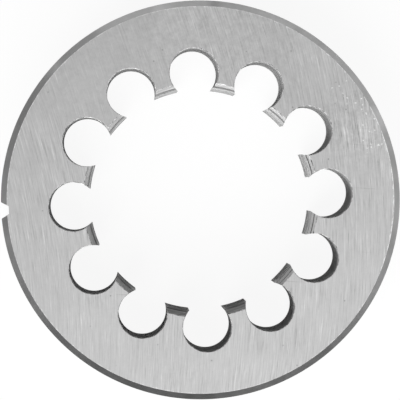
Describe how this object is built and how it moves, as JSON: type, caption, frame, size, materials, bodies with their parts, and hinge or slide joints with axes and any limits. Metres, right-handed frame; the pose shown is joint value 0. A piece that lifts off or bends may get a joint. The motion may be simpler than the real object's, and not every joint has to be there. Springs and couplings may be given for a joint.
{
  "type": "round threading die",
  "caption": "Closed round die that cuts an outside thread on a rod, with chip holes round its threaded bore and a V-groove in its rim.",
  "frame": {"origin": "centre of the lower ground face, on the thread's axis", "axes": "+Z along the thread's axis, out of the face that is shown; -X through the V-groove in the rim"},
  "size_m": [0.09, 0.09, 0.022],
  "materials": {
    "die_steel": "ground faces and rim, turned chamfers, drilled chip holes"
  },
  "bodies": {
    "root": {"die_body": "die_steel"}
  },
  "joints": []
}
